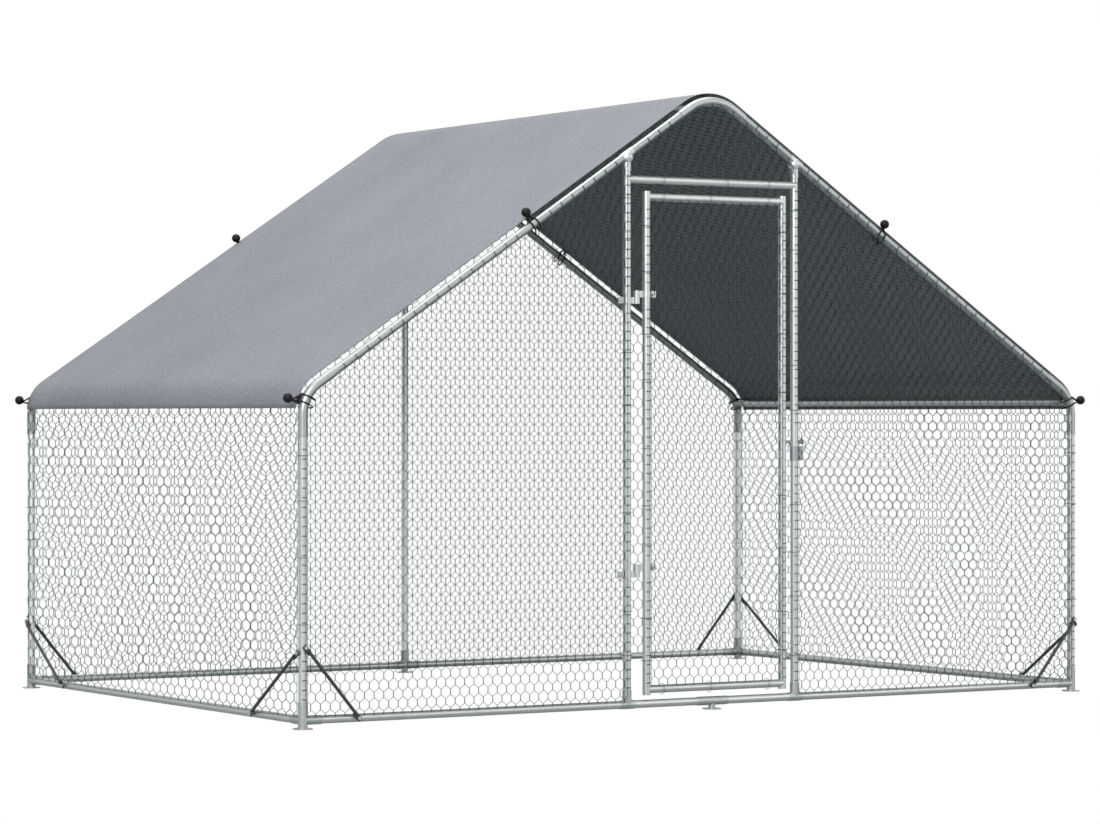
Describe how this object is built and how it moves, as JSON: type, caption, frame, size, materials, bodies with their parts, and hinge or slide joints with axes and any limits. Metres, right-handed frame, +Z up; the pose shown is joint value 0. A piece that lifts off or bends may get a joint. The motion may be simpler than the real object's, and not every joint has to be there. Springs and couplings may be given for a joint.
{
  "type": "chicken run",
  "caption": "Walk-in chicken run: galvanised tube frame with a gable roof, hexagonal wire netting, a netted hinged door with a sliding latch, and a roof cover.",
  "frame": {"origin": "on the ground under the middle of the run", "axes": "+X right seen from the door, +Y from the door gable to the back gable, +Z up"},
  "size_m": [3.0134, 2.035, 1.9508],
  "materials": {
    "tube": "bright galvanised",
    "connector": "dull galvanised",
    "brace": "satin black",
    "fixings": "zinc plated",
    "wire": "galvanised wire",
    "cover_fabric": "coated woven cloth, silver grey above and charcoal below",
    "bungee": "matt black"
  },
  "bodies": {
    "frame": {"front_left_post": "tube", "front_right_post": "tube", "back_left_post": "tube", "back_right_post": "tube", "back_centre_post": "tube", "left_door_post": "tube", "right_door_post": "tube", "front_left_rafter": "tube", "front_right_rafter": "tube", "back_left_rafter": "tube", "back_right_rafter": "tube", "ridge_pole": "tube", "left_eave_rail": "tube", "right_eave_rail": "tube", "front_left_rail": "tube", "front_right_rail": "tube", "back_left_rail": "tube", "back_right_rail": "tube", "left_rail": "tube", "right_rail": "tube", "front_left_foot": "connector", "front_right_foot": "connector", "back_left_foot": "connector", "back_right_foot": "connector", "front_middle_foot": "connector", "back_middle_foot": "connector", "front_left_eave_joint": "connector", "front_right_eave_joint": "connector", "back_left_eave_joint": "connector", "back_right_eave_joint": "connector", "front_ridge_joint": "connector", "back_ridge_joint": "connector", "door_header": "tube", "door_post_tees": "connector", "door_post_brackets": "connector", "front_left_braces": "brace", "front_right_braces": "brace", "back_left_braces": "brace", "back_right_braces": "brace", "frame_bolts": "fixings", "hinge_post_straps": "tube", "latch_clamp": "tube", "front_left_net": "wire", "front_right_net": "wire", "front_top_net": "wire", "back_net": "wire", "left_net": "wire", "right_net": "wire", "left_roof_net": "wire", "right_roof_net": "wire", "roof_cover": "cover_fabric", "ball_bungees": "bungee"},
    "door": {"hinge_stile": "tube", "latch_stile": "tube", "door_top_rail": "tube", "door_bottom_rail": "tube", "hinge_door_straps": "tube", "door_bolts": "fixings", "door_net": "wire"},
    "latch": {"latch_rod": "fixings"}
  },
  "joints": [
    {"name": "door_hinge", "type": "hinge", "parent": "frame", "child": "door", "pos_m": [-0.2835, -0.9875, 0.9], "axis": [0, 0, -1], "range_deg": [0, 110]},
    {"name": "latch_slide", "type": "slide", "parent": "frame", "child": "latch", "axis": [-1, 0, 0], "range_m": [0, 0.014]}
  ]
}
